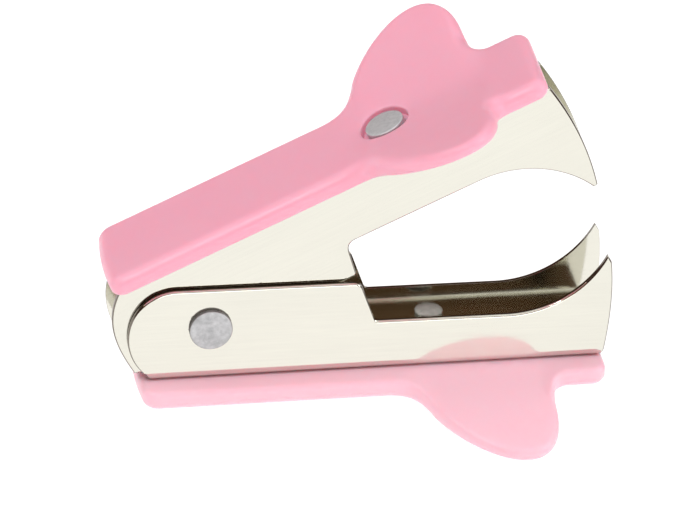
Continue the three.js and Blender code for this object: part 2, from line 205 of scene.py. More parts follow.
def inset(loop, distance):
    """A closed loop moved to its left by a distance."""
    points = np.array(loop)
    ahead = np.roll(points, -1, axis=0) - points
    ahead /= np.linalg.norm(ahead, axis=1)[:, None]
    behind = np.roll(ahead, 1, axis=0)
    normal = np.stack([-(ahead + behind)[:, 1], (ahead + behind)[:, 0]], axis=1)
    normal /= np.linalg.norm(normal, axis=1)[:, None]
    left = np.stack([-ahead[:, 1], ahead[:, 0]], axis=1)
    stretch = 1 / np.maximum(0.5, (normal * left).sum(1))
    return points + normal * (stretch * distance)[:, None]


# ---------- meshes ----------


def strip(bm, row, next_row, materials=0, closed=True):
    """Quads between two rows of vertices with equal counts; materials is one place or one for each quad."""
    count = len(row)
    for i in range(count if closed else count - 1):
        j = (i + 1) % count
        corners = [row[i], row[j], next_row[j], next_row[i]]
        unique = list(dict.fromkeys(corners))
        if len(unique) > 2:
            bm.faces.new(unique).material_index = materials if isinstance(materials, int) else materials[i]


def piece(name, bm, place, body, node, materials, sharp_degrees=35):
    """Finishes a mesh in millimetres as one visible piece that stands for one CAD node."""
    bm.transform(place)
    bmesh.ops.recalc_face_normals(bm, faces=bm.faces)
    mesh = bpy.data.meshes.new(name)
    bm.to_mesh(mesh)
    bm.free()
    for material in materials:
        mesh.materials.append(material)
    mesh.shade_smooth()
    mesh.set_sharp_from_angle(angle=math.radians(sharp_degrees))
    obj = bpy.data.objects.new(name, mesh)
    bpy.context.scene.collection.objects.link(obj)
    weighted = obj.modifiers.new("even_normals", "WEIGHTED_NORMAL")
    weighted.keep_sharp = True
    weighted.weight = 100
    if body:
        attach(obj, body)
    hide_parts(node)
    return obj


# ---------- jaws: a flat blank with rounded cut edges, folded into a channel ----------

BEND_STEPS = 8
CHEEK_STEP = 0.25  # longest stretch of a blank's outline up a cheek
WEB_STEP = 0.5  # and across the web
ROLL_OVER = 0.24  # rounding of the cut edge on the outer face, where the shears pressed on it
BURR_ROUND = 0.02  # and on the inner face
PLATED_ROWS = 2  # rows of faces of the roll-over that keep the plated material on every edge; the rows beyond them get the dark cut material, painted shade
LONG_EDGE = 0.7  # an edge that turns less than this far from the jaw's length counts as a long one
FLAT, CUT_AND_EDGE_SHADE = 0, 1  # material places: the plated faces, and the sheared edge, which also paints a dark outline of shade along the roll-overs
HOLE_SIDES = 64
FANG_STEPS = 30


class Channel:
    """The fold of a jaw. A point of the blank is (x, s): s runs across it from the centre line of the web.

    side is -1 for a web below the pivot and 1 for a web above it.
    """

    def __init__(self, width, web, side):
        self.web = web
        self.side = side
        self.bend_start = width / 2 - BEND_RADIUS
        self.bend_end = self.bend_start + BEND_RADIUS * math.pi / 2

    def across(self, z):
        """s of a point of the sheet's outer face at height z."""
        depth = max(0.0, self.side * (self.web - z))
        if depth < BEND_RADIUS:
            return self.bend_start + BEND_RADIUS * math.acos(1 - depth / BEND_RADIUS)
        return self.bend_end + depth - BEND_RADIUS

    def folded(self, x, s, inward):
        """Where a point of the blank, that far inside the sheet's outer face, is after folding."""
        hand = math.copysign(1, s)
        turn = min(max(abs(s) - self.bend_start, 0) / BEND_RADIUS, math.pi / 2)
        flat = min(abs(s), self.bend_start)
        straight = max(abs(s) - self.bend_end, 0)
        radius = BEND_RADIUS - inward
        y = flat + radius * math.sin(turn)
        depth = BEND_RADIUS - radius * math.cos(turn) + straight
        return Vector((x, hand * y, self.web - self.side * depth))

    def bend_lines(self):
        run = np.linspace(self.bend_start, self.bend_end, BEND_STEPS + 1)
        return [hand * s for s in run for hand in (-1, 1)]

    def blank(self, side_view):
        """The closed outline of the blank, counter-clockwise, from the open side view of a cheek.

        The side view runs from the web's front end over the cheek to the web's rear end.
        """
        half = []
        for (x0, z0), (x1, z1) in zip(side_view, side_view[1:]):
            count = max(1, math.ceil(abs(self.across(z1) - self.across(z0)) / CHEEK_STEP))
            for i in range(count):
                z = z0 + (z1 - z0) * i / count
                if self.side * (self.web - z) >= 0:
                    half.append((x0 + (x1 - x0) * i / count, self.across(z)))
        front, rear = half[0][0], half[-1][0]
        web_front = line((front, 0), (front, half[0][1]), WEB_STEP)[:-1]
        web_rear = line((rear, half[-1][1]), (rear, 0), WEB_STEP)[1:]
        one_side = web_front + half + web_rear
        other_side = [(x, -s) for x, s in reversed(one_side)][1:-1]
        return joined(one_side, other_side)


def roll_over_materials(loop, unshaded_long_edges):
    """The long edges of the outer jaw keep the plated material; the roll-overs of all other edges get the
    dark cut material, a painted dark outline of shade.
    """
    outward = loop - inset(loop, 1)
    lengthwise = np.abs(outward[:, 0] + np.roll(outward, -1, axis=0)[:, 0]) / 2
    return [FLAT if unshaded_long_edges and share < LONG_EDGE else CUT_AND_EDGE_SHADE for share in lengthwise]


def jaw_mesh(channel, side_view, pivot_hole_r, rivet_x, unshaded_long_edges):
    """The blank as a thin solid with rounded cut edges, scored at the bends and folded."""
    cheek_hole = channel.across(0.0)
    circle = np.array(arc((0, 0), 1, 0, 360, HOLE_SIDES)[:-1])[::-1]
    loops = [
        channel.blank(side_view),
        circle * pivot_hole_r + (0, cheek_hole),
        circle * pivot_hole_r + (0, -cheek_hole),
        circle * RIVET_HOLE_R + (rivet_x, 0),
    ]
    outer = arc((ROLL_OVER, ROLL_OVER), ROLL_OVER, -90, -180, 6)
    inner = arc((BURR_ROUND, SHEET - BURR_ROUND), BURR_ROUND, 180, 90, 1)
    profile = outer + inner
    bm = bmesh.new()
    faces = {0: [], len(profile) - 1: []}
    for loop in loops:
        rows = []
        for distance, inward in profile:
            rows.append([bm.verts.new((x, s, inward)) for x, s in inset(loop, distance)])
        roll_over = roll_over_materials(np.array(loop), unshaded_long_edges)
        for level, (row, next_row) in enumerate(zip(rows, rows[1:])):
            # Past the plated rows the roll-over takes the dark cut material: a painted dark outline of shade
            # along the edges.
            if level < PLATED_ROWS:
                materials = FLAT
            else:
                materials = roll_over if level < len(outer) - 1 else CUT_AND_EDGE_SHADE
            strip(bm, row, next_row, materials)
        for level, collected in faces.items():
            collected.append(rows[level])
    for rows in faces.values():
        corners = [vertex for row in rows for vertex in row]
        for triangle in tessellate_polygon([[v.co for v in row] for row in rows]):
            bm.faces.new([corners[i] for i in triangle]).material_index = FLAT
    for s in channel.bend_lines():
        everything = [*bm.verts, *bm.edges, *bm.faces]
        bmesh.ops.bisect_plane(bm, geom=everything, dist=1e-4, plane_co=(0, s, 0), plane_no=(0, 1, 0))
    for vertex in bm.verts:
        vertex.co = channel.folded(*vertex.co)
    return bm


def fang(start, edge, side):
    """The concave edge of a fang from its tip back to the straight edge."""
    stretch = []
    for along in np.linspace(FANG_REACH, 0, FANG_STEPS):
        rise = FANG_RADIUS - math.sqrt(FANG_RADIUS**2 - along**2)
        stretch.append((start + along, edge + side * rise))
    return stretch


def lower_side_view():
    concave = fang(LOWER_FANG_START, LOWER_EDGE, 1)
    tip_x, tip_z = concave[0]
    outer_tip = (tip_x + FANG_TIP_WIDTH, tip_z - LOWER_TIP_SLANT)
    notch_top = 14.72
    notch_foot = 16.34
    return joined(
        bezier((39.1, LOWER_WEB - 1), (40.35, 0.2), outer_tip, count=40),
        concave,
        line((LOWER_FANG_START, LOWER_EDGE), (notch_foot + 0.45, LOWER_EDGE)),
        bezier(
            (notch_foot + 0.45, LOWER_EDGE),
            (notch_foot, LOWER_EDGE),
            (notch_foot - 0.15, LOWER_EDGE + 0.4),
            count=8,
        ),
        line((notch_foot - 0.15, LOWER_EDGE + 0.4), (notch_top + 0.22, LOWER_TOP - 0.6)),
        bezier(
            (notch_top + 0.22, LOWER_TOP - 0.6),
            (notch_top, LOWER_TOP),
            (notch_top - 0.7, LOWER_TOP),
            count=8,
        ),
        line((notch_top - 0.7, LOWER_TOP), (-3.3, LOWER_TOP)),
        bezier((-3.3, LOWER_TOP), (-5.95, LOWER_TOP), (-8.12, 2.05), (-8.12, -0.9)),
        bezier((-8.12, -0.9), (-8.12, -2.6), (-7.3, -4.2), (-6.3, -5.0)),
        line((-6.3, -5.0), (-5.4, LOWER_WEB - 1), 0.1),
    )


def stop_point(x):
    """A point just above the inside of the lower web, in the frame of the open upper jaw."""
    z = LOWER_WEB + SHEET + STOP_GAP + x * math.tan(LOWER_LEAN)
    turned_back = Matrix.Rotation(-OPEN_ANGLE, 2) @ Vector((x, z))
    return tuple(turned_back)


def upper_side_view():
    concave = fang(UPPER_FANG_START, UPPER_EDGE, -1)
    tip_x, tip_z = concave[0]
    outer_tip = (tip_x + FANG_TIP_WIDTH, tip_z + UPPER_TIP_SLANT)
    step = 15.24
    return joined(
        bezier((39.89, UPPER_WEB), (41.3, 1.85), outer_tip, count=40),
        concave,
        line((UPPER_FANG_START, UPPER_EDGE), (step + 1.3, UPPER_EDGE)),
        bezier((step + 1.3, UPPER_EDGE), (step + 0.35, UPPER_EDGE), (step + 0.2, UPPER_EDGE - 1.0), count=10),
        line((step + 0.2, UPPER_EDGE - 1.0), (step - 0.15, UPPER_HEEL + 0.35)),
        bezier((step - 0.15, UPPER_HEEL + 0.35), (step - 0.2, UPPER_HEEL), (step - 0.6, UPPER_HEEL), count=8),
        line((step - 0.6, UPPER_HEEL), stop_point(-3.6)),
        line(stop_point(-3.6), stop_point(-7.35)),
        bezier(stop_point(-7.35), (-9.21, 2.17), (-9.06, 5.27), (-6.16, 7.67), count=40),
        line((-6.16, 7.67), (-5.5, UPPER_WEB), 0.1),
    )


def build_jaws(steels, cut_and_shaded_edges):
    lower = Channel(LOWER_WIDTH, LOWER_WEB, -1)
    leaning = Matrix.Rotation(-LOWER_LEAN, 2)
    lower_view = [tuple(leaning @ Vector(p)) for p in lower_side_view()]
    piece(
        "lower_jaw_sheet",
        jaw_mesh(lower, lower_view, PIVOT_NECK_R + NECK_CLEARANCE, PAD_RIVET_X + LOWER_PAD_SHIFT, True),
        LOWER_SHEET,
        "lower",
        "lower_jaw",
        [steels["lower"], cut_and_shaded_edges],
    )
    upper = Channel(UPPER_WIDTH, UPPER_WEB, 1)
    piece(
        "upper_jaw_sheet",
        jaw_mesh(upper, upper_side_view(), PIVOT_SHOULDER_R + RUNNING_CLEARANCE, PAD_RIVET_X, False),
        UPPER,
        "upper",
        "upper_jaw",
        [steels["upper"], cut_and_shaded_edges],
    )


# ---------- grips ----------

GRIP_STEP = 0.35
ACROSS_STEPS = 12
CROWN_STEPS = 12
FOOT_STEPS = 7
LIP_STEPS = 4
LIP_ROUND = 0.18
STRIP_CROWN = 1.3  # how far in from the strip's sides its face starts to fall away
WING_CROWN = 0.9
FOOT_ROUND = 0.6  # rounding of the moulding's edge on the side of the jaw
SPINE_END = 0.6  # from the crown's inner edge to the ends of the lines across the moulding
WING_REAR = 21.3  # the plan's lines run to the rivet's recess from here to the wing's peak


def smooth_step(value, start, end):
    t = np.clip((value - start) / (end - start), 0, 1)
    return t * t * (3 - 2 * t)


def soft_ramp(value, softness):
    """0 below 0 and the value above it, with a soft knee."""
    return (value + np.sqrt(value**2 + softness**2)) / 2


def grip_outline(pad_rear):
    """Half of the moulding's plan, from the middle of its rear end to the middle of its front end."""
    half = PAD_HALF_WIDTH
    bow_start = pad_rear + PAD_REAR_BULGE
    bow_side = half - PAD_REAR_CORNER
    run = joined(
        bezier((pad_rear, 0), (pad_rear, bow_side / 2), (bow_start, bow_side)),
        arc((bow_start + PAD_REAR_CORNER, bow_side), PAD_REAR_CORNER, 180, 90),
        line((bow_start + PAD_REAR_CORNER, half), (19.4, half)),
        bezier((19.4, half), (21.1, half), (21.6, 7.4), (22.5, 8.9)),
        bezier((22.5, 8.9), (24.1, 11.6), (27.5, WING_HALF_SPAN), (30.6, WING_HALF_SPAN), count=48),
        bezier((30.6, WING_HALF_SPAN), (33.2, WING_HALF_SPAN), (34.3, 12.4), (34.3, 9.6), count=48),
        bezier((34.3, 9.6), (34.3, 7.4), (34.3, half), (35.8, half)),
        line((35.8, half), (PAD_FRONT - PAD_FRONT_CORNER, half)),
        arc((PAD_FRONT - PAD_FRONT_CORNER, half - PAD_FRONT_CORNER), PAD_FRONT_CORNER, 90, 0),
        line((PAD_FRONT, half - PAD_FRONT_CORNER), (PAD_FRONT, 0)),
    )
    points = np.array(run)
    length = np.append(0, np.cumsum(np.linalg.norm(np.diff(points, axis=0), axis=1)))
    even = np.linspace(0, length[-1], round(length[-1] / GRIP_STEP) + 1)
    return np.stack([np.interp(even, length, points[:, axis]) for axis in (0, 1)], axis=1)


def inward_normals(outline):
    mirrored = outline * (1, -1)
    whole = np.concatenate([mirrored[1:2], outline, mirrored[-2:-1]])
    tangent = whole[2:] - whole[:-2]
    tangent /= np.linalg.norm(tangent, axis=1)[:, None]
    return np.stack([tangent[:, 1], -tangent[:, 0]], axis=1)


def wing_share(x, y):
    """1 where the moulding belongs to a wing and 0 on the plain strip and its tab."""
    inside = smooth_step(x, 18.0, 23.0) * (1 - smooth_step(x, 33.2, 36.2))
    return np.maximum(inside, smooth_step(np.abs(y), PAD_HALF_WIDTH + 0.4, PAD_HALF_WIDTH + 2.5))


def outward_share(y):
    return np.clip((np.abs(y) - PAD_HALF_WIDTH) / (WING_HALF_SPAN - PAD_HALF_WIDTH), 0, 1)


def grip_top(x, y, pad_thickness):
    return pad_thickness + WING_SLOPE * soft_ramp(np.abs(y) - WING_ROOT, 0.8) * wing_share(x, y)


def grip_bottom(x, y, pad_thickness):
    wing_thickness = WING_ROOT_THICKNESS + (WING_TIP_THICKNESS - WING_ROOT_THICKNESS) * outward_share(y)
    height = grip_top(x, y, pad_thickness) - wing_thickness
    return soft_ramp(height, 0.25) * smooth_step(np.abs(y), 3.0, PAD_HALF_WIDTH)


def spine(outline, radius):
    """For each outline point, where its line across the moulding ends.

    That is on the centre line, or on the circle of that radius round the rivet.
    """
    x, y = outline[:, 0], outline[:, 1]
    order = np.arange(len(outline))
    wing_rear = order[np.searchsorted(x, WING_REAR)]
    wing_peak = order[np.argmax(y)] + 4
    rear = outline[0, 0] + STRIP_CROWN + SPINE_END
    front = PAD_FRONT - STRIP_CROWN - SPINE_END
    ends = np.zeros_like(outline)
    before = order <= wing_rear
    after = order >= wing_peak
    round_hole = ~(before | after)
    ends[before, 0] = rear + (PAD_RIVET_X - radius - rear) * order[before] / wing_rear
    share = (order[after] - wing_peak) / (order[-1] - wing_peak)
    ends[after, 0] = PAD_RIVET_X + radius + (front - PAD_RIVET_X - radius) * share
    angle = math.pi * (1 - (order[round_hole] - wing_rear) / (wing_peak - wing_rear))
    ends[round_hole] = np.stack([PAD_RIVET_X + radius * np.cos(angle), radius * np.sin(angle)], axis=1)
    return ends, wing_rear, wing_peak


def grip_mesh(pad_rear, pad_thickness):
    """Rows from the rivet's recess over the top, round the edge and back along the underside."""
    outline = grip_outline(pad_rear)
    top = functools.partial(grip_top, pad_thickness=pad_thickness)
    bottom = functools.partial(grip_bottom, pad_thickness=pad_thickness)
    normal = inward_normals(outline)
    share = wing_share(outline[:, 0], outline[:, 1]) * outward_share(outline[:, 1])
    top_round = PAD_ROUND + (WING_ROUND - PAD_ROUND) * share
    top_crown = STRIP_CROWN + (WING_CROWN - STRIP_CROWN) * share

    def edge_row(distance, height_of, lift):
        plan = outline + normal * np.reshape(distance, (-1, 1))
        plan[:, 1] = np.maximum(plan[:, 1], 0)
        plan[[0, -1], 1] = 0
        return np.column_stack([plan, height_of(plan[:, 0], plan[:, 1]) + lift])

    def across_rows(inner, outer_plan, height_of):
        for t in np.linspace(0, 1, ACROSS_STEPS + 1)[:-1]:
            plan = inner + (outer_plan - inner) * t
            yield np.column_stack([plan, height_of(plan[:, 0], plan[:, 1])])

    top_inner, first, last = spine(outline, RECESS_R + LIP_ROUND)
    bottom_inner, _, _ = spine(outline, RIVET_HOLE_R)
    rows = list(across_rows(top_inner, edge_row(top_crown, top, 0)[:, :2], top))
    for angle in np.radians(np.linspace(90, 0, CROWN_STEPS)):
        rows.append(edge_row(top_crown * (1 - math.cos(angle)), top, -top_round * (1 - math.sin(angle))))
    for angle in np.radians(np.linspace(0, 90, FOOT_STEPS)):
        rows.append(edge_row(FOOT_ROUND * (1 - math.cos(angle)), bottom, FOOT_ROUND * (1 - math.sin(angle))))
    foot = rows[-1][:, :2]
    rows.extend(reversed(list(across_rows(bottom_inner, foot, bottom))))

    floor_z = pad_thickness - RECESS_DEPTH
    recess = [(RIVET_HOLE_R, 0), (RIVET_HOLE_R, floor_z), (RECESS_R, floor_z)]
    hole_rows = []
    for radius, z in recess:
        plan = spine(outline, radius)[0][first : last + 1]
        hole_rows.append(np.column_stack([plan, np.full(len(plan), z)]))
    for angle in np.radians(np.linspace(0, 90, LIP_STEPS)):
        plan = spine(outline, RECESS_R + LIP_ROUND * (1 - math.cos(angle)))[0][first : last + 1]
        lift = -LIP_ROUND * (1 - math.sin(angle))
        hole_rows.append(np.column_stack([plan, top(plan[:, 0], plan[:, 1]) + lift]))

    bm = bmesh.new()
    for hand in (1, -1):
        for group in (rows, hole_rows):
            made = [[bm.verts.new((x, hand * y, z)) for x, y, z in row] for row in group]
            for row, next_row in zip(made, made[1:]):
                strip(bm, row, next_row, closed=False)
    bmesh.ops.remove_doubles(bm, verts=bm.verts, dist=1e-3)
    bmesh.ops.dissolve_degenerate(bm, edges=bm.edges, dist=1e-4)
    return bm


def build_grips(plastics):
    for side, place in (("upper", UPPER_GRIP), ("lower", LOWER_GRIP)):
        bm = grip_mesh(PAD_REAR[side], PAD_THICKNESS[side])
        piece(f"{side}_grip", bm, place, side, f"{side}_pad", [plastics[side]], 50)


# ---------- rivets: turned about z ----------


def turned_mesh(profile, wall_radius=math.inf, segments=96):
    """A solid of revolution; the profile is (radius, height) from one end of the axis to the other.

    Faces that reach that wall radius get the second material.
    """
    bm = bmesh.new()
    rows = []
    for radius, height in profile:
        if radius < 1e-6:
            rows.append([bm.verts.new((0, 0, height))] * segments)
        else:
            rows.append([bm.verts.new((x, y, height)) for x, y in arc((0, 0), radius, 0, 360, segments)[:-1]])
    for (radius, _), (next_radius, _), row, next_row in zip(profile, profile[1:], rows, rows[1:]):
        strip(bm, row, next_row, int(max(radius, next_radius) >= wall_radius))
    return bm


def pad_rivet_profile(pad_thickness):
    seat = pad_thickness - RECESS_DEPTH + CONTACT_GAP
    head = pad_thickness + RIVET_HEAD_RISE
    tail = -2 * CONTACT_GAP - SHEET
    rim = 0.16
    crown = 0.05
    dome = [
        (RIVET_TAIL_R * math.cos(a), tail - 0.2 - (RIVET_TAIL_HEIGHT - 0.2) * math.sin(a))
        for a in np.radians(np.linspace(90, 0, 13))
    ]
    dome[0] = (0, dome[0][1])
    face = [
        (r, head - crown * (r / (RIVET_HEAD_R - rim)) ** 2)
        for r in np.linspace(RIVET_HEAD_R - rim, 0, 8)
    ]
    return [
        *dome,
        (0.95 * RIVET_TAIL_R, tail),
        (RIVET_SHANK_R, tail),
        (RIVET_SHANK_R, seat),
        (RIVET_HEAD_R, seat),
        *arc((RIVET_HEAD_R - rim, head - crown - rim), rim, 0, 78, 6),
        *face,
    ]


def pivot_rivet_profile():
    shoulder = LOWER_WIDTH / 2 - SHEET - CONTACT_GAP
    seat = LOWER_WIDTH / 2 + CONTACT_GAP
    end = seat + PIVOT_HEAD_HEIGHT
    rim = 0.16
    crown = 0.04
    face = [
        (r, end - crown * (r / (PIVOT_HEAD_R - rim)) ** 2)
        for r in np.linspace(PIVOT_HEAD_R - rim, 0, 8)
    ]
    half = [
        (PIVOT_SHOULDER_R, shoulder),
        (PIVOT_NECK_R, shoulder),
        (PIVOT_NECK_R, seat),
        (PIVOT_HEAD_R - 0.06, seat),
        (PIVOT_HEAD_R, seat + 0.06),
        *arc((PIVOT_HEAD_R - rim, end - crown - rim), rim, 0, 80, 6),
        *face,
    ]
    return [(r, -z) for r, z in reversed(half)] + half


def build_rivets(pad_aluminium, pivot_aluminium, pivot_rim_shade):
    for side, place in (("upper", UPPER_GRIP), ("lower", LOWER_GRIP)):
        piece(
            f"{side}_grip_rivet",
            turned_mesh(pad_rivet_profile(PAD_THICKNESS[side])),
            place @ Matrix.Translation((PAD_RIVET_X, 0, 0)),
            side,
            f"{side}_pad_rivet",
            [pad_aluminium],
        )
    # The pivot head's side wall gets its dark second material: a painted ring of shade round the head.
    piece(
        "pivot_rivet_body",
        turned_mesh(pivot_rivet_profile(), PIVOT_HEAD_R - 0.03),
        LOWER @ Matrix.Rotation(math.pi / 2, 4, "X"),
        "lower",
        "pivot_rivet",
        [pivot_aluminium, pivot_rim_shade],
    )


# ---------- spring ----------

WIRE_STEP = 0.15
WIRE_SIDES = 20


def spring_path():
    """Centre line of the wire: the lower leg, the coil and the upper leg, one point each WIRE_STEP."""
    upper_slope = UPPER_LEG_SLOPE + OPEN_ANGLE
    start_angle = -math.pi / 2 - LOWER_LEG_SLOPE
    end_angle = math.pi / 2 + upper_slope - 8 * math.pi
    turn = start_angle - end_angle
    half_coil = COIL_PITCH * turn / (4 * math.pi)
    lower_reach = -LOWER_WEB - SHEET - WIRE_R - LEG_GAP
    upper_reach = UPPER_WEB - SHEET - WIRE_R - LEG_GAP
    lower_leg = (lower_reach - COIL_R * math.cos(LOWER_LEG_SLOPE)) / math.sin(LOWER_LEG_SLOPE)
    upper_leg = (upper_reach - COIL_R * math.cos(UPPER_LEG_SLOPE)) / math.sin(UPPER_LEG_SLOPE)

    def on_coil(share):
        angle = start_angle - share * turn
        y = half_coil * (2 * share - 1)
        return Vector((COIL_R * math.cos(angle), y, COIL_R * math.sin(angle)))

    lower_way = Vector((math.cos(LOWER_LEG_SLOPE), 0, -math.sin(LOWER_LEG_SLOPE)))
    upper_way = Vector((math.cos(upper_slope), 0, math.sin(upper_slope)))
    lower_steps = np.linspace(lower_leg, 0, round(lower_leg / WIRE_STEP))
    upper_steps = np.linspace(0, upper_leg, round(upper_leg / WIRE_STEP))
    points = [on_coil(0) + lower_way * d for d in lower_steps[:-1]]
    points += [on_coil(t) for t in np.linspace(0, 1, round(COIL_R * turn / WIRE_STEP))]
    points += [on_coil(1) + upper_way * d for d in upper_steps[1:]]
    return points


def build_spring(wire):
    path = spring_path()
    bm = bmesh.new()
    rows = []
    for i, point in enumerate(path):
        ahead = (path[min(i + 1, len(path) - 1)] - path[max(i - 1, 0)]).normalized()
        sideways = Vector((0, 1, 0))
        sideways = (sideways - ahead * sideways.dot(ahead)).normalized()
        other = ahead.cross(sideways)
        ends = min(i, len(path) - 1 - i)
        radius = WIRE_R if ends else WIRE_R * 0.8
        ring = arc((0, 0), radius, 0, 360, WIRE_SIDES)[:-1]
        rows.append([bm.verts.new(point + sideways * a + other * b) for a, b in ring])
    for row, next_row in zip(rows, rows[1:]):
        strip(bm, row, next_row)
    bm.faces.new(rows[0])
    bm.faces.new(rows[-1])
    spring = piece("spring_wire", bm, LOWER, None, "torsion_spring", [wire])
    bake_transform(spring)


# ---------- materials ----------


class Nodes:
    """A material's node tree with short names for what the materials below share."""

    def __init__(self, name):
        self.material = bpy.data.materials.new(name)
        self.material.use_nodes = True
        self.tree = self.material.node_tree
        self.shader = self.tree.nodes["Principled BSDF"]

    def add(self, kind, inputs=(), **settings):
        node = self.tree.nodes.new(kind)
        for key, value in settings.items():
            setattr(node, key, value)
        for key, value in dict(inputs).items():
            self.feed(node, key, value)
        return node

    def feed(self, node, key, value):
        if isinstance(value, bpy.types.NodeSocket):
            self.tree.links.new(value, node.inputs[key])
        else:
            node.inputs[key].default_value = value

    def surface(self, **inputs):
        for key, value in inputs.items():
            self.feed(self.shader, key.replace("_", " "), value)

    def place(self, tilt=0.0, scale=(1, 1, 1)):
        """Object coordinates turned level with a jaw that is tilted nose-up, then scaled."""
        where = self.add("ShaderNodeTexCoord").outputs["Object"]
        turned = self.add("ShaderNodeMapping", {"Vector": where, "Rotation": (0, tilt, 0)}).outputs[0]
        return self.add("ShaderNodeMapping", {"Vector": turned, "Scale": scale}).outputs[0]

    def noise(self, vector, scale, detail=3.0, roughness=0.5):
        inputs = {"Vector": vector, "Scale": scale, "Detail": detail, "Roughness": roughness}
        return self.add("ShaderNodeTexNoise", inputs).outputs["Fac"]

    def ramp(self, value, low, high, start=0.3, end=0.7):
        """A number mapped from start..end to low..high."""
        inputs = {"Value": value, "From Min": start, "From Max": end, "To Min": low, "To Max": high}
        return self.add("ShaderNodeMapRange", inputs).outputs[0]

    def mix(self, share, first, second):
        node = self.add("ShaderNodeMix", data_type="RGBA")
        self.feed(node, 0, share)
        self.feed(node, 6, (*first, 1) if isinstance(first, tuple) else first)
        self.feed(node, 7, (*second, 1) if isinstance(second, tuple) else second)
        return node.outputs[2]

    def bump(self, height, distance, strength=1.0, normal=None):
        inputs = {"Height": height, "Distance": distance * MM, "Strength": strength}
        if normal is not None:
            inputs["Normal"] = normal
        return self.add("ShaderNodeBump", inputs).outputs[0]


def plated_steel(name, tilt):
    """Bright nickel plate over brushed strip: fine streaks along the jaw and a few cloudy patches."""
    n = Nodes(name)
    streaks = n.noise(n.place(tilt, (150, 4500, 4500)), 1.0, 4.0, 0.6)
    clouds = n.noise(n.place(tilt, (70, 160, 160)), 1.0, 3.0, 0.5)
    tint = n.mix(n.ramp(clouds, 0, 1), (0.745, 0.735, 0.655), (0.72, 0.71, 0.635))
    n.surface(
        Base_Color=n.mix(n.ramp(streaks, 0, 0.16), tint, (0.62, 0.605, 0.54)),
        Metallic=1.0,
        Roughness=n.ramp(streaks, 0.06, 0.11),
        Normal=n.bump(streaks, 0.0003),
    )
    return n.material


def cut_steel_and_edge_shade(name):
    """The sheared edge of the sheet, darker and duller than its faces and darker than bare steel: painted
    shade that also draws the dark outline along the roll-overs.
    """
    n = Nodes(name)
    grain = n.noise(n.place(0, (2500, 2500, 2500)), 1.0, 3.0, 0.6)
    n.surface(
        Base_Color=n.mix(n.ramp(grain, 0, 1), (0.24, 0.21, 0.18), (0.16, 0.14, 0.12)),
        Metallic=1.0,
        Roughness=n.ramp(grain, 0.12, 0.22),
        Normal=n.bump(grain, 0.002),
    )
    return n.material


def pink_plastic(name, tilt, colour, other_colour):
    """Satin moulded plastic: a slightly uneven colour and a very fine mould texture."""
    n = Nodes(name)
    drift = n.noise(n.place(tilt, (120, 120, 120)), 1.0, 2.0)
    skin = n.noise(n.place(tilt, (9000, 9000, 9000)), 1.0, 2.0)
    swell = n.noise(n.place(tilt, (500, 500, 500)), 1.0, 2.0)
    n.surface(
        Base_Color=n.mix(n.ramp(drift, 0, 1), colour, other_colour),
        Roughness=n.ramp(swell, 0.32, 0.40),
        Normal=n.bump(skin, 0.0004, 1.0, n.bump(swell, 0.002)),
        Subsurface_Weight=0.65,
        Subsurface_Radius=(1.0, 0.35, 0.4),
        Subsurface_Scale=0.9 * MM,
    )
    return n.material


def rivet_aluminium(name, light, dark):
    """Tumbled aluminium: matte, mottled, with small dents."""
    n = Nodes(name)
    mottle = n.noise(n.place(0, (1500, 1500, 1500)), 1.0, 4.0, 0.65)
    dents = n.noise(n.place(0, (900, 900, 900)), 1.0, 2.0)
    n.surface(
        Base_Color=n.mix(n.ramp(mottle, 0, 1), light, dark),
        Metallic=0.7,
        Roughness=n.ramp(mottle, 0.5, 0.65),
        Normal=n.bump(mottle, 0.006, 1.0, n.bump(dents, 0.012)),
    )
    return n.material


def spring_wire():
    """Drawn wire: grey, with fine scratches."""
    n = Nodes("spring_wire")
    scratches = n.noise(n.place(0, (3000, 3000, 3000)), 1.0, 4.0, 0.6)
    n.surface(
        Base_Color=n.mix(n.ramp(scratches, 0, 1), (0.36, 0.345, 0.33), (0.27, 0.26, 0.25)),
        Metallic=1.0,
        Roughness=n.ramp(scratches, 0.22, 0.34),
        Normal=n.bump(scratches, 0.002),
    )
    return n.material


def floor_paper():
    """White and glowing, like a light table, so that nothing throws a shadow on it."""
    n = Nodes("floor_paper")
    n.surface(
        Base_Color=(0.35, 0.35, 0.35, 1),
        Roughness=0.9,
        Specular_IOR_Level=0.1,
        Emission_Color=(1, 1, 1, 1),
        Emission_Strength=0.85,
    )
    return n.material


# ---------- studio ----------

CAMERA_TURN = math.radians(-10)
CAMERA_HEIGHT = math.radians(29)
CAMERA_ROLL = math.radians(-2.2)
CAMERA_DISTANCE = 550 * MM
CAMERA_TARGET = (13.12, 0, 5.28)
SENSOR = 36.0
LENS = 297.4374
FLOOR_HALF = 1.5
FLOOR_GAP = 0.02 * MM
WALL_TOP = math.radians(36)
CEILING_EDGE = math.radians(54)
WALL_COLOUR = (0.14, 0.078, 0.044, 1)
CEILING_COLOUR = (1.08, 1.08, 1.08, 1)


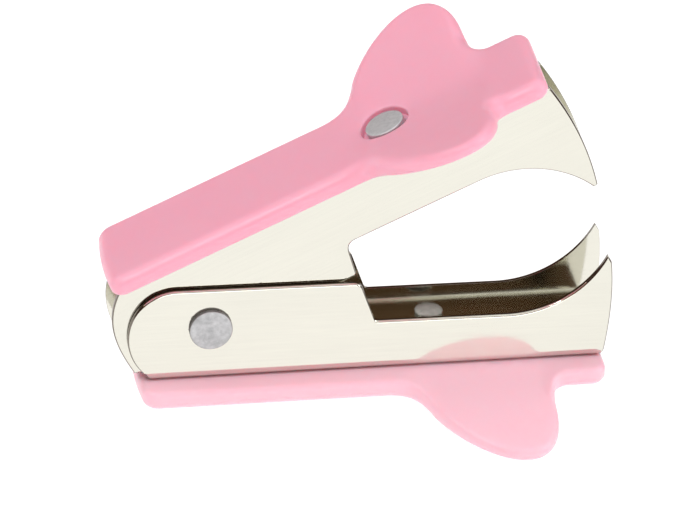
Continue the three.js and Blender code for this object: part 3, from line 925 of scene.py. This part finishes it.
def add_camera():
    """A long lens. Placed in the LOWER frame, so that the view of the jaws doesn't depend on their tilt."""
    right = Vector((math.cos(CAMERA_TURN), math.sin(CAMERA_TURN), 0))
    back = Vector(
        (
            math.sin(CAMERA_TURN) * math.cos(CAMERA_HEIGHT),
            -math.cos(CAMERA_TURN) * math.cos(CAMERA_HEIGHT),
            math.sin(CAMERA_HEIGHT),
        )
    )
    above = back.cross(right)
    rolled_right = right * math.cos(CAMERA_ROLL) - above * math.sin(CAMERA_ROLL)
    rolled_above = right * math.sin(CAMERA_ROLL) + above * math.cos(CAMERA_ROLL)
    turn = nose_up(LOWER_TILT).to_3x3()
    axes = Matrix([turn @ rolled_right, turn @ rolled_above, turn @ back]).transposed()
    data = bpy.data.cameras.new("camera")
    data.sensor_width = SENSOR
    data.lens = LENS
    data.clip_start = 0.01
    data.clip_end = 10
    camera = bpy.data.objects.new("camera", data)
    camera.matrix_world = Matrix.LocRotScale(
        LOWER @ Vector(CAMERA_TARGET) + turn @ back * CAMERA_DISTANCE, axes.to_quaternion(), None
    )
    bpy.context.scene.collection.objects.link(camera)
    bpy.context.scene.camera = camera


def add_floor():
    half = FLOOR_HALF
    corners = [(-half, -half, 0), (half, -half, 0), (half, half, 0), (-half, half, 0)]
    mesh = bpy.data.meshes.new("floor")
    mesh.from_pydata(corners, [], [(0, 1, 2, 3)])
    mesh.materials.append(floor_paper())
    floor = bpy.data.objects.new("floor", mesh)
    floor.location.z = cad_box[0].z - FLOOR_GAP
    bpy.context.scene.collection.objects.link(floor)


def add_area_light(name, direction, distance, size, power):
    data = bpy.data.lights.new(name, "AREA")
    data.shape = "RECTANGLE"
    data.size = size[0]
    data.size_y = size[1]
    data.energy = power
    way = Vector(direction).normalized()
    light = bpy.data.objects.new(name, data)
    light.location = way * distance
    light.rotation_mode = "QUATERNION"
    light.rotation_quaternion = way.to_track_quat("Z", "Y")
    bpy.context.scene.collection.objects.link(light)


def add_world():
    """A bright ceiling over dim walls. The background itself is plain white."""
    world = bpy.data.worlds.new("studio")
    world.use_nodes = True
    tree = world.node_tree
    nodes = tree.nodes
    where = nodes.new("ShaderNodeTexCoord")
    height = nodes.new("ShaderNodeSeparateXYZ")
    tree.links.new(where.outputs["Generated"], height.inputs[0])
    share = nodes.new("ShaderNodeMapRange")
    share.interpolation_type = "SMOOTHSTEP"
    share.inputs["From Min"].default_value = math.sin(WALL_TOP)
    share.inputs["From Max"].default_value = math.sin(CEILING_EDGE)
    tree.links.new(height.outputs["Z"], share.inputs["Value"])
    tone = nodes.new("ShaderNodeMix")
    tone.data_type = "RGBA"
    tone.inputs[6].default_value = WALL_COLOUR
    tone.inputs[7].default_value = CEILING_COLOUR
    tree.links.new(share.outputs[0], tone.inputs[0])
    light = nodes["Background"]
    tree.links.new(tone.outputs[2], light.inputs["Color"])
    seen = nodes.new("ShaderNodeBackground")
    seen.inputs["Color"].default_value = (1, 1, 1, 1)
    path = nodes.new("ShaderNodeLightPath")
    mix = nodes.new("ShaderNodeMixShader")
    tree.links.new(path.outputs["Is Camera Ray"], mix.inputs[0])
    tree.links.new(light.outputs[0], mix.inputs[1])
    tree.links.new(seen.outputs[0], mix.inputs[2])
    tree.links.new(mix.outputs[0], nodes["World Output"].inputs["Surface"])
    bpy.context.scene.world = world


def add_studio():
    add_camera()
    add_floor()
    add_world()
    add_area_light("key", (0.80, -0.35, 0.45), 0.6, (0.3, 0.25), 1.35)
    add_area_light("front", (0.1, -0.98, 0.07), 0.7, (0.4, 0.25), 1.1)
    add_area_light("top_left", (-0.8, 0.2, 0.6), 0.6, (0.25, 0.2), 0.5)
    add_area_light("ridge", (-0.5, -0.35, 0.78), 0.6, (0.14, 0.1), 0.9)
    bpy.context.scene.view_settings.view_transform = "Standard"


# ---------- assembly ----------

add_studio()
build_jaws(
    {
        "lower": plated_steel("plated_steel_lower", LOWER_GRIP_TILT),
        "upper": plated_steel("plated_steel_upper", UPPER_TILT),
    },
    # The cut material is darker than bare steel: painted shade along the edges.
    cut_steel_and_edge_shade("cut_steel_and_edge_shade"),
)
build_grips(
    {
        "upper": pink_plastic("pink_plastic_upper", UPPER_TILT, (0.90, 0.415, 0.54), (0.885, 0.43, 0.55)),
        # The lower pad is the same plastic as the upper one; its paler pink is painted light, where light
        # falls more brightly on it.
        "lower": pink_plastic("pink_plastic_lower_painted_light", LOWER_TILT, (0.925, 0.56, 0.655), (0.91, 0.57, 0.665)),
    }
)
build_rivets(
    rivet_aluminium("rivet_aluminium_pads", (0.70, 0.71, 0.73), (0.54, 0.55, 0.57)),
    rivet_aluminium("rivet_aluminium_pivot", (0.58, 0.59, 0.60), (0.40, 0.41, 0.42)),
    # Dark grey for the pivot head's side wall: painted shade round the head.
    rivet_aluminium("pivot_rim_painted_shade", (0.24, 0.24, 0.24), (0.16, 0.16, 0.16)),
)
build_spring(spring_wire())
